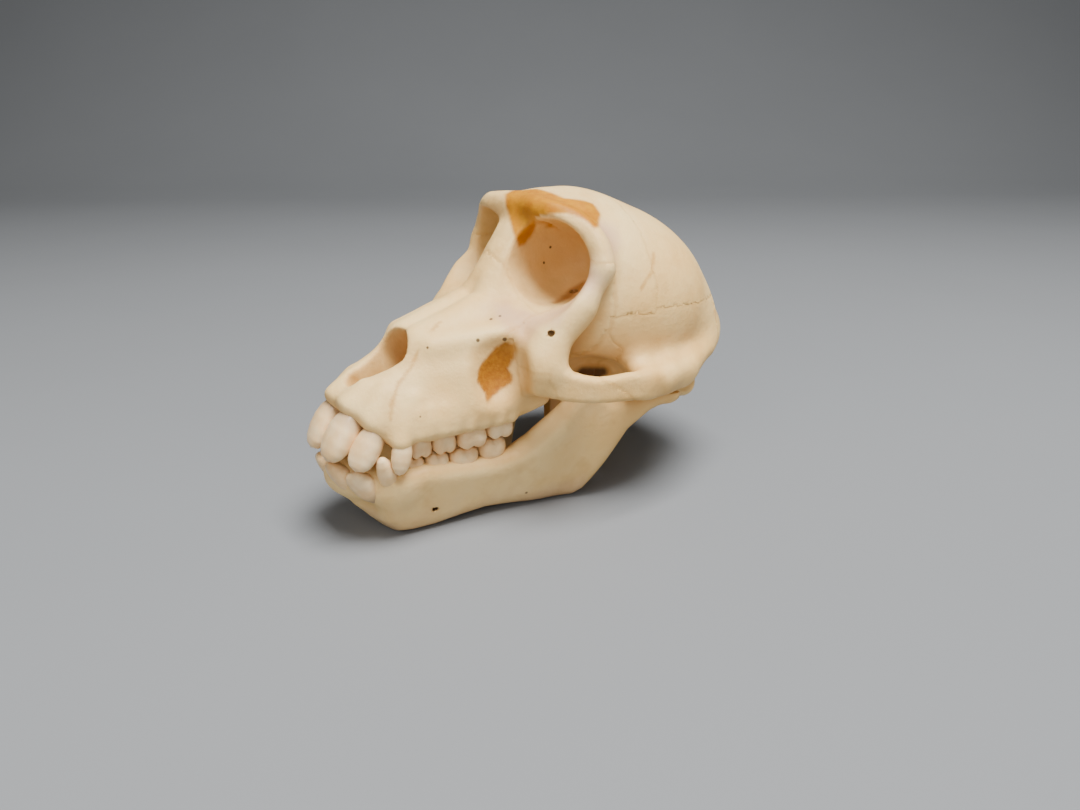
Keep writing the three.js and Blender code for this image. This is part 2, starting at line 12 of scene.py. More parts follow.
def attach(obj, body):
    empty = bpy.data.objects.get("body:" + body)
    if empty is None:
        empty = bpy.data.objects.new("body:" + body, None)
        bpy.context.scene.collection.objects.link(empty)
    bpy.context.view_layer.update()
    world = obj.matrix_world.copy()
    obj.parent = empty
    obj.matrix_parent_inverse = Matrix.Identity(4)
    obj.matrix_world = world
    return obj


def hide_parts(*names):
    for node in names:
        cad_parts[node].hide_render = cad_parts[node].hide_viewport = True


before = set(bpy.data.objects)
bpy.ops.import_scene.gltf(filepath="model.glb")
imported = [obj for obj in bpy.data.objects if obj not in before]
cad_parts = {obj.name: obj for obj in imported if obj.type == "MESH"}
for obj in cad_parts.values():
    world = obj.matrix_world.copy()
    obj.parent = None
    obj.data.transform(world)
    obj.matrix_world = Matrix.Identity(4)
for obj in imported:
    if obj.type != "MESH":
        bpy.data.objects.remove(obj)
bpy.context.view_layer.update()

# Sizes in millimetres
SHIFT_Y = 7.364                     # the skull's frame to the middle of the footprint
CELL = 0.75                         # grid of the bone surfaces
SUTURE_LAP = 0.9                    # a bone runs this far under the edge of an earlier one
SUTURE_STEP = 0.12                  # and lies this much lower there
SUTURE_WAVE = 0.6
WALL = 2.7                          # of the braincase
BRAINCASE = ((0, 18.7, 56), (34.3, 39.2, 29.3), -19)
FOREHEAD = ((0, 7, 67.2), (25, 19.5, 21.4), 0)
OCCIPUT = ((0, 41, 45), (28, 18, 19), 0)
BASE_LEVEL = 29
ORBIT = np.array([17.3, -10.4, 71.6])
ORBIT_SIZE = (12.2, 11.6, 24)       # half width, half height, depth
ORBIT_WALL = 3.4
JAW_MUSCLE_ROOM = ((25, -2, 38), (8.5, 12, 7.5))
NOSE_TOP = np.array([0, -45.8, 54.9])
NOSE_SLOPE = np.arctan2(0.69, 0.72)
BITE_LEVEL = 23.9
JAW_CLEARANCE = 0.5


def unit(v):
    """The vector scaled to length one."""
    v = np.asarray(v, float)
    return v / np.linalg.norm(v)


ORBIT_OUT = unit((0.42, -0.9, 0.12))
ORBIT_SIDE = unit(np.array([0.9, 0.42, 0.1]) - ORBIT_OUT * np.dot((0.9, 0.42, 0.1), ORBIT_OUT))
ORBIT_UP = np.cross(ORBIT_OUT, ORBIT_SIDE)


# Distance functions on arrays of points: negative inside, positive outside
def blend(a, b, k):
    """Smooth union: the smaller of two distances, rounded over a width k where they meet."""
    h = np.clip(0.5 + 0.5 * (b - a) / k, 0, 1)
    return b * (1 - h) + a * h - k * h * (1 - h)


def carve(a, b, k):
    """Smooth intersection: the larger of two distances, rounded over a width k."""
    return -blend(-a, -b, k)


def ramp(a, b, v):
    """0 below a, 1 above b, smooth between."""
    t = np.clip((v - a) / (b - a), 0, 1)
    return t * t * (3 - 2 * t)


def ellipsoid(p, centre, radii, pitch=0.0):
    """Distance to an ellipsoid, turned about X by pitch degrees: scaled length times its own slope."""
    q = p - np.asarray(centre, float)
    a = np.radians(pitch)
    y = np.cos(a) * q[:, 1] + np.sin(a) * q[:, 2]
    z = -np.sin(a) * q[:, 1] + np.cos(a) * q[:, 2]
    rx, ry, rz = radii
    k0 = np.sqrt((q[:, 0] / rx) ** 2 + (y / ry) ** 2 + (z / rz) ** 2)
    k1 = np.sqrt((q[:, 0] / rx ** 2) ** 2 + (y / ry ** 2) ** 2 + (z / rz ** 2) ** 2) + 1e-9
    return k0 * (k0 - 1) / k1


def rod(p, a, b):
    """Distance to a tapered rod between two points, each x, y, z and radius."""
    a, b = np.asarray(a, float), np.asarray(b, float)
    d = b[:3] - a[:3]
    t = np.clip((p - a[:3]) @ d / (d @ d), 0, 1)
    return np.linalg.norm(p - a[:3] - t[:, None] * d, axis=1) - (a[3] + (b[3] - a[3]) * t)


def curve(stations, steps=3):
    """More stations on a smooth curve through the given ones, each pull set by its two neighbours."""
    q = np.asarray(stations, float)
    q = np.concatenate([2 * q[:1] - q[1:2], q, 2 * q[-1:] - q[-2:-1]])
    t = np.arange(steps)[None, :, None] / steps
    a, b, c, d = (q[i:len(q) - 3 + i, None] for i in range(4))
    inner = b + 0.5 * t * (c - a + t * (2 * a - 5 * b + 4 * c - d + t * (3 * b - a - 3 * c + d)))
    return np.concatenate([inner.reshape(-1, q.shape[1]), q[-2:-1]])


def chain(p, stations):
    """Distance to a row of tapered rods through the stations."""
    parts = [rod(p, a, b) for a, b in zip(stations[:-1], stations[1:])]
    return np.minimum.reduce(parts)


def strap(p, stations, edge):
    """Distance to an upright strap: stations of x, y, middle height, half height and half thickness."""
    parts = []
    for a, b in zip(np.asarray(stations[:-1], float), np.asarray(stations[1:], float)):
        d = b[:2] - a[:2]
        t = np.clip((p[:, :2] - a[:2]) @ d / (d @ d), 0, 1)
        m = a + t[:, None] * (b - a)
        u = np.linalg.norm(p[:, :2] - m[:, :2], axis=1) - (m[:, 4] - edge)
        v = np.abs(p[:, 2] - m[:, 2]) - (m[:, 3] - edge)
        inside = np.minimum(np.maximum(u, v), 0)
        outside = np.hypot(np.maximum(u, 0), np.maximum(v, 0))
        parts.append(inside + outside - edge)
    return np.minimum.reduce(parts)


def outline(y, z, corners):
    """Signed distance in the side view to a closed outline of y, z corners."""
    corners = np.asarray(corners, float)
    nearest = np.full(len(y), np.inf)
    sign = np.ones(len(y))
    for a, b in zip(corners, np.roll(corners, 1, axis=0)):
        ey, ez = b - a
        wy, wz = y - a[0], z - a[1]
        t = np.clip((wy * ey + wz * ez) / (ey * ey + ez * ez), 0, 1)
        nearest = np.minimum(nearest, np.hypot(wy - ey * t, wz - ez * t))
        above, below, left = z >= a[1], z < b[1], ey * wz > ez * wy
        sign = np.where((above & below & left) | ~(above | below | left), -sign, sign)
    return sign * nearest


# Chains of the cranium's left side: x, y, z and radius
CREST = [(37, 16, 39, 2.6), (34, 28, 40, 3), (28, 41, 41.5, 2.5), (18, 53, 45, 2.5)]
BROW = [(0, -4.6, 85, 3.5), (9, -7, 85.2, 3.2), (18.5, -6, 83, 3.1), (25, -2.6, 79.6, 2.9),
        (28.9, -1.6, 76, 2.7), (30.7, -2, 71.6, 2.5)]
RIM = [(30.7, -2, 71.6, 2.5), (30.4, -4.8, 66.8, 2.5), (28.5, -9.5, 61, 3.2), (23, -14.5, 58, 3),
       (14, -18, 58.5, 3)]
BRIDGE = [(0, -4.4, 82, 2.8), (0, -7.4, 77.5, 3.1), (0, -12.3, 72, 3.7), (0, -16.8, 66, 4.4)]
DORSUM = [(1.2, -13.5, 70, 3.8), (4, -22, 58.5, 5.6), (4, -31.5, 54.8, 5.8), (3.5, -43, 51.2, 5.8)]
SOCKETS = [(17.5, -15, 37, 5.5), (16, -30, 35, 6), (13, -48, 34, 6.3), (9.5, -58.5, 34.5, 6),
           (3.5, -63.5, 36.8, 5.6)]
CHEEK = [(28.5, -9.5, 61, 3.4), (28, -16, 53.5, 4.3), (28.2, -19.5, 46, 4), (28.2, -20.2, 43.5, 3)]
MUZZLE_RIDGE = [(11, -43, 53, 0.8), (15, -33.5, 54.2, 1.1), (18.5, -26, 55.2, 1.2)]
MASTOID = [(29.5, 27, 37, 5.5), (26.5, 33.5, 31.5, 4.3)]
SKULL_BASE = [(0, 30, 34, 8), (0, -4, 40, 8)]
CONDYLE = [(7, 35, 30, 3.6), (8.5, 41, 31.5, 3.2)]
BROW_FILL = [(0, 0, 83.5, 4.6), (14, 1, 82.2, 4.2)]
SNOUT = [(11.5, -21, 50, 9.5), (6, -54, 39.5, 7.5)]
UPPER_JAW = [(14, -18, 44, 8), (13.5, -32, 41, 7.5)]
PALATE_CORE = [(0, -25, 38, 9), (0, -57, 36.5, 6.5)]
CHEEK_ROOT = [(17, -18, 46, 6.5), (26.5, -19.5, 48, 4.4)]
ARCH_ROOT = [(36, 17, 40, 2.4), (29, 20, 42.5, 4.5)]
ARCH_SHELF = [(36.5, 9, 39.8, 2.2), (28.5, 12, 43, 4.6)]
FORAMEN_MAGNUM = [(0, 41, 43, 7), (0, 46.5, 18, 7)]
# Hollows: middle and half sizes
MUZZLE_HOLLOW = ((23.8, -30.5, 46.5), (5.8, 6.5, 8.5))
PALATE_VAULT = ((0, -34, 26.5), (9.5, 29, 8.5))
EAR_HOLLOW = ((34, 31.5, 33), (5, 5, 4))
# Straps: x, y, middle height, half height and half thickness
ARCH = [(28.5, -20, 45.5, 5.2, 2.6), (32.5, -15.8, 42.5, 4.3, 2.3), (36.5, -8, 40.6, 3.6, 1.9),
        (38, 2, 39.9, 4, 1.8), (37.7, 10, 38.6, 4, 1.9), (36, 18, 38, 3.6, 2.4), (33, 26, 38.5, 3.5, 4)]
PTERYGOID = [(9, 7, 38.5, 5.5, 3), (10, -3, 32.5, 9.5, 1.6), (11.5, -12, 31, 9, 1.6),
             (12, -17.5, 31.5, 8.6, 1.8)]
# Bulges over the roots of the front teeth: ends with radius
ROOT_BULGES = [((5.4, -66.4, 37, 2.8), (4.6, -60.5, 43.4, 1.3)),
               ((11.6, -63.5, 34.5, 2.9), (10, -57.5, 42, 1.6)),
               ((16.2, -56.5, 31, 2.9), (14.6, -51.5, 41, 1.1))]
# Small nerve holes of the left side: x, y, z and radius
FACE_HOLES = [(29.7, -18.3, 56.3, 0.9), (20.3, -26.7, 54.1, 0.6), (20.2, -24.1, 53, 0.55),
              (17.6, -33.3, 54.4, 0.5), (13.9, -26.8, 58.3, 0.45), (14.7, -24.4, 58.7, 0.5),
              (12, -45.3, 53.2, 0.35), (18.5, -51.7, 37.4, 0.35),
              (10.9, 3.6, 61.3, 1.2), (2.3, 1.4, 73, 0.4), (2.3, -0.9, 68.7, 0.4)]
JAW_HOLES = [(13.7, -46.8, 7.5, 0.85), (17.6, -18.7, 5.6, 0.55)]
CARVED_HOLE = 0.8                   # smaller holes than this are not carved, only painted dark as shade


def orbit_axes(p):
    """Sideways, upward and outward coordinates from the middle of the left orbit's rim."""
    d = p - ORBIT
    return d @ ORBIT_SIDE, d @ ORBIT_UP, d @ ORBIT_OUT


def orbit_hollow(p, grow=0.0):
    """Distance to the eye socket: half an ellipsoid inward and a flaring tube outward, drawn up at
    its inner side."""
    u, v, n = orbit_axes(p)
    v = v - ramp(0, 8, v) * (0.4 + 0.14 * np.clip(-u, 0, 10))
    flare = 1 + np.maximum(n, 0) * 0.03
    inner = np.stack([u / flare, v / flare, np.minimum(n, 0)], axis=1)
    return ellipsoid(inner, (0, 0, 0), [s + grow for s in ORBIT_SIZE])


def orbit_cup(p):
    """Distance to the wall round the eye socket, cut off at its rim, and further back at its upper
    inner corner."""
    u, v, n = orbit_axes(p)
    back_set = 0.055 * np.maximum(-u, 0) * np.maximum(v + 2, 0)
    return carve(orbit_hollow(p, ORBIT_WALL), n + 1.5 + back_set, 2)


def nose_opening(p):
    """Distance to the pear-shaped nose opening, cut in along the normal of its sloping plane."""
    dy, dz = p[:, 1] - NOSE_TOP[1], p[:, 2] - NOSE_TOP[2]
    s = -dy * np.cos(NOSE_SLOPE) - dz * np.sin(NOSE_SLOPE)
    n = -dy * np.sin(NOSE_SLOPE) + dz * np.cos(NOSE_SLOPE)
    t = np.clip((s - 7) / 10.5, 0, 1)
    pear = np.hypot(p[:, 0], s - 7 - t * 10.5) - (7.2 - t * 4)
    return carve(pear, -(n + 14), 4)


def socket_level(y):
    """Height of the edge of the upper tooth sockets along the muzzle."""
    rear = np.clip(y + 38, 0, 40) ** 2 * 0.0085
    return 28 + rear + np.clip(-58.5 - y, 0, 10) * 1.05


def cheek_roots():
    """Two low bulges on the bone over each upper cheek tooth."""
    for y, length, _, x in UPPER_CHEEK:
        for part in (-0.24, 0.24):
            yield (x + 3.2, y + part * length, 32, 1.8), (x + 2.6, y + part * length + 0.8, 38, 0.8)


def brain_hollow(p):
    """Distance to the room inside the braincase, clear of the eye sockets and open below at the rear."""
    f = ellipsoid(p, BRAINCASE[0], np.array(BRAINCASE[1]) - WALL, BRAINCASE[2])
    f = carve(f, BASE_LEVEL + 4.2 - 0.1 * p[:, 1] - p[:, 2], 2)
    f = carve(f, -orbit_hollow(p, ORBIT_WALL + 0.6), 2)
    f = carve(f, WALL + 1 - ellipsoid(p, *JAW_MUSCLE_ROOM), 2)
    return np.minimum(f, chain(p, FORAMEN_MAGNUM))


def open_holes(f, p, holes):
    """The distance f with the larger of the small round holes carved out."""
    for hole in holes:
        if hole[3] > CARVED_HOLE:
            f = carve(f, -(np.linalg.norm(p - hole[:3], axis=1) - hole[3]), 0.3)
    return f


def cranium(points):
    """Distance to the cranium: forms of one side blended, then the hollows carved out of them."""
    p = points.copy()
    p[:, 0] = np.hypot(p[:, 0], 1)
    y, z = p[:, 1], p[:, 2]
    f = ellipsoid(p, *BRAINCASE)
    f = blend(f, ellipsoid(p, *FOREHEAD), 8)
    f = blend(f, ellipsoid(p, *OCCIPUT), 6)
    f = carve(f, BASE_LEVEL + np.clip((10 - y) * 0.22, -2.5, 9) - z, 5)
    f = blend(f, chain(p, MASTOID), 6)
    f = blend(f, chain(p, CREST), 6)
    f = blend(f, chain(p, SKULL_BASE), 6)
    f = blend(f, strap(p, PTERYGOID, 1.2), 3)
    f = blend(f, chain(p, CONDYLE), 3)
    f = blend(f, orbit_cup(p), 4)
    f = blend(f, chain(p, BROW_FILL), 5)
    f = blend(f, chain(p, curve(BROW)), 4)
    f = blend(f, chain(p, curve(RIM)), 3)
    f = blend(f, chain(p, BRIDGE), 3.5)
    f = blend(f, chain(p, DORSUM), 4)
    f = blend(f, chain(p, SNOUT), 7)
    f = blend(f, chain(p, UPPER_JAW), 7)
    f = blend(f, chain(p, SOCKETS), 6)
    f = blend(f, chain(p, PALATE_CORE), 6)
    f = blend(f, chain(p, CHEEK), 7)
    f = blend(f, chain(p, CHEEK_ROOT), 7)
    f = blend(f, strap(p, curve(ARCH), 1.6), 3)
    f = blend(f, chain(p, ARCH_ROOT), 5)
    f = blend(f, chain(p, ARCH_SHELF), 5)
    f = blend(f, chain(p, MUZZLE_RIDGE), 6)
    for a, b in ROOT_BULGES:
        f = blend(f, rod(p, a, b), 3)
    for a, b in cheek_roots():
        f = blend(f, rod(p, a, b), 1.6)
    f = carve(f, -ellipsoid(p, *MUZZLE_HOLLOW), 4)
    f = carve(f, -ellipsoid(p, *JAW_MUSCLE_ROOM), 3)
    rounding = 1.5 + 3.5 * ramp(56, 64, -y)
    f = np.where(y < -6, carve(f, socket_level(y) - z, rounding), f)
    f = carve(f, -ellipsoid(p, *PALATE_VAULT), 3)
    f = carve(f, -orbit_hollow(p), 1.2)
    f = carve(f, -nose_opening(p), 1)
    f = carve(f, -ellipsoid(p, *EAR_HOLLOW), 2)
    f = carve(f, -brain_hollow(p), 1)
    return open_holes(f, p, FACE_HOLES)


# Side outline of the lower jaw: y, z
JAW_OUTLINE = [(-61, 21), (-62, 14), (-60, 5), (-56, 0.4), (-52, -0.4), (-45, -0.4), (-38, 0.5),
               (-30, 1.2), (-22, 0.6), (-12, -0.4), (-2.2, -0.4), (0.8, 1.8), (3.4, 6), (6.5, 11.3),
               (9.2, 16.5), (11.8, 21.5), (17, 27), (24, 31), (24, 35), (18.5, 36), (13, 32.5), (7, 33),
               (2.5, 37), (-1.5, 41.2), (-4.5, 41.2), (-9.5, 37), (-14, 30), (-18.5, 24.5), (-23, 21),
               (-30, 19.7), (-40, 20.5), (-50, 22)]
# Chains of the lower jaw: x, y, z and radius
CHIN = [(0, -66, 19, 5), (0, -60.5, 11.5, 5.2), (0, -54, 5.2, 5.3), (0, -49, 5.6, 5)]
CHIN_SIDES = [(0, -66, 18.5, 5), (6.5, -63.5, 17.8, 4.8), (10.5, -56, 16, 4.8)]
JAW_JOINT = [(27, 21.5, 33, 2.8), (34, 21, 33, 2.8)]


def jaw_middle(y, z):
    """How far the middle of the jaw's plate is from the midline: it runs outward to the rear and
    leans out."""
    d = np.maximum(y + 30, 0)
    row = np.where(y < -30, 0.11 * (y + 30), 0.16 * d + 0.0045 * d * d)
    return 12.3 + row + (0.34 - 0.26 * ramp(-12, 12, y)) * (z - 10)


def jaw(points):
    """Distance to the lower jaw: a leaning plate with the side outline, a thick chin and the rods of
    its joints."""
    p = points.copy()
    p[:, 0] = np.hypot(p[:, 0], 0.6)
    x, y, z = p.T
    half = 4.7 - 2.2 * ramp(-18, 0, y) - 0.6 * ramp(24, 40, z) * ramp(-25, -5, y)
    f = carve(outline(y, z, JAW_OUTLINE), np.abs(x - jaw_middle(y, z)) / 1.03 - half, 5.5)
    f = blend(f, chain(p, CHIN), 5)
    f = blend(f, chain(p, CHIN_SIDES), 4)
    f = blend(f, chain(p, JAW_JOINT), 2)
    f = carve(f, JAW_CLEARANCE - cranium(points), 0.6)
    return carve(open_holes(f, p, JAW_HOLES), 0.05 - z, 0.4)


# Surfaces from distance functions
def sampled(field, points, chunk=300000):
    """The field at many points, worked out in chunks."""
    return np.concatenate([field(points[i:i + chunk]) for i in range(0, len(points), chunk)])


def grid_values(field, low, counts, cell, coarse=4):
    """Field values on a grid: a coarse pass everywhere, the full grid only near the surface."""
    axes = [low[i] + cell * np.arange(counts[i]) for i in range(3)]
    rough = np.stack(np.meshgrid(*[a[::coarse] for a in axes], indexing="ij"), -1)
    values = sampled(field, rough.reshape(-1, 3)).reshape(rough.shape[:3])
    near = np.abs(values) < cell * coarse * 1.5
    grown = near.copy()
    for axis in range(3):
        for step in (-1, 1):
            grown |= np.roll(grown, step, axis)
    spread = np.ones((coarse,) * 3)
    full = np.kron(values, spread)[:counts[0], :counts[1], :counts[2]]
    todo = np.kron(grown, spread).astype(bool)[:counts[0], :counts[1], :counts[2]]
    full[todo] = sampled(field, low + cell * np.argwhere(todo))
    for axis in range(3):
        edge = np.moveaxis(full, axis, 0)
        edge[0] = edge[-1] = cell
    return full


def fill_crossed_faces(values, cell):
    """Fills grid faces whose corners are inside and outside by turns, so that every edge joins two
    faces."""
    for _ in range(12):
        inside = values < 0
        found = False
        for axis in range(3):
            m = np.moveaxis(inside, axis, 2)
            a, b, c, d = m[:-1, :-1], m[1:, :-1], m[1:, 1:], m[:-1, 1:]
            crossed = (a == c) & (b == d) & (a != b)
            if crossed.any():
                found = True
                v = np.moveaxis(values, axis, 2)
                for part in (v[:-1, :-1], v[1:, :-1], v[1:, 1:], v[:-1, 1:]):
                    part[crossed] = np.minimum(part[crossed], -0.02 * cell)
        if not found:
            return


def surface(field, low, high, cell, faces=None):
    """Vertices and quads of the field's zero surface: one vertex in each crossed cell, at the mean of
    its edge crossings, then moved onto the surface along the field's slope, and onto the line where
    two faces meet."""
    low = np.asarray(low, float)
    counts = np.ceil((np.asarray(high) - low) / cell).astype(int) + 3
    values = grid_values(field, low, counts, cell)
    fill_crossed_faces(values, cell)
    inside = values < 0
    corners = [(i, j, k) for i in (0, 1) for j in (0, 1) for k in (0, 1)]
    total = sum(inside[i:counts[0] - 1 + i, j:counts[1] - 1 + j, k:counts[2] - 1 + k].astype(int)
                for i, j, k in corners)
    crossed = (total > 0) & (total < 8)
    cells = np.argwhere(crossed)
    number = np.full(crossed.shape, -1)
    number[crossed] = np.arange(len(cells))
    spot, count = np.zeros((len(cells), 3)), np.zeros(len(cells))
    for a in corners:
        for axis in [m for m in range(3) if a[m] == 0]:
            fa = values[tuple((cells + a).T)]
            fb = values[tuple((cells + a + np.eye(3, dtype=int)[axis]).T)]
            hit = (fa < 0) != (fb < 0)
            at = np.tile(np.asarray(a, float), (len(cells), 1))
            at[:, axis] += np.where(hit, fa / np.where(hit, fa - fb, 1), 0)
            spot += at * hit[:, None]
            count += hit
    vertices = settle(field, low + cell * (cells + spot / count[:, None]), cell)
    if faces:
        vertices = sharpen(*faces, vertices, cell)
    quads = []
    for axis in range(3):
        first, second = (axis + 1) % 3, (axis + 2) % 3
        here = [slice(1, None)] * 3
        here[axis] = slice(0, -1)
        there = [slice(1, None)] * 3
        edges = np.argwhere(inside[tuple(here)] != inside[tuple(there)])
        edges += [0 if m == axis else 1 for m in range(3)]
        ring = []
        for da, db in ((0, 0), (1, 0), (1, 1), (0, 1)):
            c = edges.copy()
            c[:, first] -= da
            c[:, second] -= db
            ring.append(number[tuple(c.T)])
        ring = np.stack(ring, axis=1)
        outward = inside[tuple(edges.T)]
        ring[~outward] = ring[~outward][:, ::-1]
        quads.append(ring)
    return vertices, np.concatenate(quads)


def slope(field, points, h=0.12):
    """The field's gradient by central differences."""
    rise = [sampled(field, points + d) - sampled(field, points - d) for d in np.eye(3) * h]
    return np.stack(rise, 1) / (2 * h)


def settle(field, points, cell):
    """Moves points onto the zero surface along the slope, at most half a cell."""
    for _ in range(2):
        g = slope(field, points)
        size = np.maximum((g ** 2).sum(1), 0.1)
        points = points - g * np.clip(sampled(field, points) / size, -cell / 2, cell / 2)[:, None]
    return points


def sharpen(first, second, points, cell):
    """Moves points that lie near both surfaces onto their meeting line, by the shortest way."""
    for _ in range(3):
        a, b = sampled(first, points), sampled(second, points)
        near = (np.abs(a) < 0.5 * cell) & (np.abs(b) < 0.5 * cell)
        a, b, q = a[near], b[near], points[near]
        ga, gb = slope(first, q), slope(second, q)
        aa, bb, ab = (ga * ga).sum(1), (gb * gb).sum(1), (ga * gb).sum(1)
        spread = np.maximum(aa * bb - ab * ab, 0.1)
        step = ga * ((a * bb - b * ab) / spread)[:, None] + gb * ((b * aa - a * ab) / spread)[:, None]
        far = np.maximum(np.linalg.norm(step, axis=1) / (0.6 * cell), 1)
        points[near] = q - step / far[:, None]
    return points


def crevice(field, points):
    """How enclosed each point is, 0 in the open to 1 in a crevice, where the field stays low along
    the normal."""
    g = slope(field, points)
    normal = g / np.maximum(np.linalg.norm(g, axis=1), 1e-6)[:, None]
    closed = np.zeros(len(points))
    for reach, weight in ((1.5, 0.35), (4, 0.35), (9, 0.3)):
        closed += weight * np.clip(1 - sampled(field, points + normal * reach) / reach, 0, 1)
    return closed


def largest_part(points, quads):
    """Only the largest connected part: each vertex takes the lowest number that reaches it over the
    faces."""
    label = np.arange(len(points))
    while True:
        lower = label.copy()
        np.minimum.at(lower, quads, label[quads].min(1)[:, None])
        lower = lower[lower]
        if np.array_equal(lower, label):
            break
        label = lower
    keep = label == np.bincount(label).argmax()
    number = np.cumsum(keep) - 1
    return points[keep], number[quads[keep[quads[:, 0]]]]


# Teeth: half widths and depths at heights from the root at 0 to the tip at 1
TOOTH_AROUND = 40
TOOTH_ALONG = 32
PROFILES = {
    "incisor": ((0, 0.2, 0.34, 0.5, 0.7, 0.86, 0.95, 1), (0.45, 0.62, 0.82, 0.97, 1, 0.86, 0.58, 0),
                (0.5, 0.8, 1, 1, 0.84, 0.6, 0.38, 0)),
    "canine": ((0, 0.35, 0.5, 0.68, 0.85, 0.95, 1), (0.6, 0.86, 1, 0.98, 0.76, 0.45, 0),
               (0.6, 0.86, 1, 0.98, 0.76, 0.45, 0)),
    "molar": ((0, 0.45, 0.6, 0.74, 0.87, 0.95, 1), (0.62, 0.78, 0.95, 1, 0.92, 0.7, 0),
              (0.62, 0.78, 0.97, 1, 0.84, 0.58, 0)),
}
CUSP = {"incisor": 0, "canine": 0, "molar": 0.055}
# Front teeth of the left side: kind, tip, axis, row direction, width, depth and height
UPPER = [("incisor", (5.4, -73.2, 25.8), (0.02, -0.85, -1), (1, 0.12, 0), 10, 7.6, 17.5),
         ("incisor", (12.6, -68.4, 24.2), (0.14, -0.78, -1), (0.72, 0.7, 0), 7.6, 6.8, 15.5),
         ("canine", (17.3, -58.3, 22), (0.1, -0.25, -1), (0.35, 0.9, 0), 5.4, 5, 13)]
LOWER = [("incisor", (3.8, -72.2, 24.1), (0.02, -0.85, 1), (1, 0.1, 0), 7.2, 6.2, 14),
         ("incisor", (10, -68.8, 22.7), (0.1, -0.82, 1), (0.75, 0.66, 0), 7, 6, 14),
         ("canine", (15, -62.2, 27.4), (0.2, -0.36, 1), (0.5, 0.85, 0), 5, 4.8, 16)]
# Cheek teeth: middle y, length, breadth and x of the row
UPPER_CHEEK = [(-50.4, 6.4, 5.6, 14.2), (-43.7, 6.7, 6.4, 15.2), (-35.8, 8.8, 7.6, 16.3),
               (-27.3, 8, 7.4, 17.2)]
LOWER_CHEEK = [(-51.8, 6.2, 4.8, 12.9), (-45.2, 6.8, 5.4, 13.8), (-37.4, 8.6, 6.2, 14.8),
               (-28.8, 8.2, 6.4, 15.9)]
MOLAR_HEIGHT = 12


def tooth(kind, tip, axis, along, wide, deep, tall):
    """A tooth as a surface of two parameters, s from root to tip and t around: half width and depth
    follow the profile in s, the section is a rounded square, waisted between the two cusps of each
    side, and the crown sinks between its four cusps."""
    s = np.sin(np.linspace(0, np.pi / 2, TOOTH_ALONG))[:, None]
    t = np.linspace(0, 2 * np.pi, TOOTH_AROUND, endpoint=False)[None, :]
    at, widths, depths = PROFILES[kind]
    c, e = np.cos(t), np.sin(t)
    square = (np.abs(c) ** 2.4 + np.abs(e) ** 2.4) ** (-1 / 2.4)
    crown = ramp(0.82, 0.97, s)
    waist = 1 - 3 * CUSP[kind] * ramp(0.5, 0.8, s) * np.exp(-(c / 0.3) ** 2)
    a = wide / 2 * np.interp(s, at, widths) * c * square
    b = deep / 2 * np.interp(s, at, depths) * e * square * waist
    basin = ramp(0.965, 1, s)
    cusps = 0.5 + 0.5 * (1 - basin) * np.cos(4 * t)
    lift = s - CUSP[kind] * (crown * cusps + 1.3 * basin)
    up = unit(axis)
    w = unit(np.asarray(along, float) - up * np.dot(along, up))
    d = np.cross(up, w)
    p = (np.asarray(tip, float) + ((lift - 1) * tall)[..., None] * up
         + a[..., None] * w + b[..., None] * d)
    rings = TOOTH_ALONG - 1
    keep = rings * TOOTH_AROUND + 1
    heights = np.broadcast_to(s, a.shape).ravel()[:keep]
    return p.reshape(-1, 3)[:keep], tube_faces(rings, TOOTH_AROUND), heights


def tube_faces(rings, around):
    """Faces of a closed tube: quads between the rings, one face at the root and a fan to the tip, which
    is the last point."""
    i, k = np.meshgrid(np.arange(rings - 1), np.arange(around), indexing="ij")
    n = (k + 1) % around
    quads = np.stack([i * around + k, i * around + n, (i + 1) * around + n, (i + 1) * around + k], -1)
    last = (rings - 1) * around
    faces = quads.reshape(-1, 4).tolist()
    faces.append(list(range(around - 1, -1, -1)))
    faces += [[last + j, last + (j + 1) % around, rings * around] for j in range(around)]
    return faces


def tooth_row(front, cheek, up):
    """All teeth of one jaw, both sides, as one list of points, faces and height along each tooth."""
    rows = list(front)
    for y, length, breadth, x in cheek:
        z = BITE_LEVEL + max(y + 36, 0) * 0.14 + (0.7 if up > 0 else -0.3)
        axis = (0.16 if up > 0 else 0.04, 0, up)
        rows.append(("molar", (x, y, z), axis, (0.13, 1, 0), length, breadth, MOLAR_HEIGHT))
    points, faces, height, start = [], [], [], 0
    for side in (1, -1):
        flip = np.array([side, 1, 1])
        for kind, tip, axis, along, wide, deep, tall in rows:
            p, f, s = tooth(kind, flip * tip, flip * axis, flip * along, wide, deep, tall)
            points.append(p)
            faces += [[v + start for v in face] for face in f]
            height.append(s)
            start += len(p)
    return np.concatenate(points), faces, np.concatenate(height)


# Pieces
def place(points):
    """Millimetres in the skull's frame to metres in the shared frame."""
    return (np.asarray(points) + (0, SHIFT_Y, 0)) / 1000


def new_piece(name, points, faces, nodes, material):
    """A smooth mesh piece that rides on the only body and stands for the named nodes."""
    mesh = bpy.data.meshes.new(name)
    mesh.from_pydata(place(points).tolist(), [], [list(map(int, f)) for f in faces])
    mesh.polygons.foreach_set("use_smooth", np.ones(len(mesh.polygons), bool))
    mesh.set_sharp_from_angle(angle=np.radians(50))
    mesh.materials.append(material)
    piece = bpy.data.objects.new(name, mesh)
    bpy.context.scene.collection.objects.link(piece)
    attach(piece, "root")
    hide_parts(*nodes)
    return piece


def paint(piece, masks):
    """Stores one number for each vertex under each name."""
    for name, values in masks.items():
        layer = piece.data.attributes.new(name, "FLOAT", "POINT")
        layer.data.foreach_set("value", np.asarray(values, np.float32))


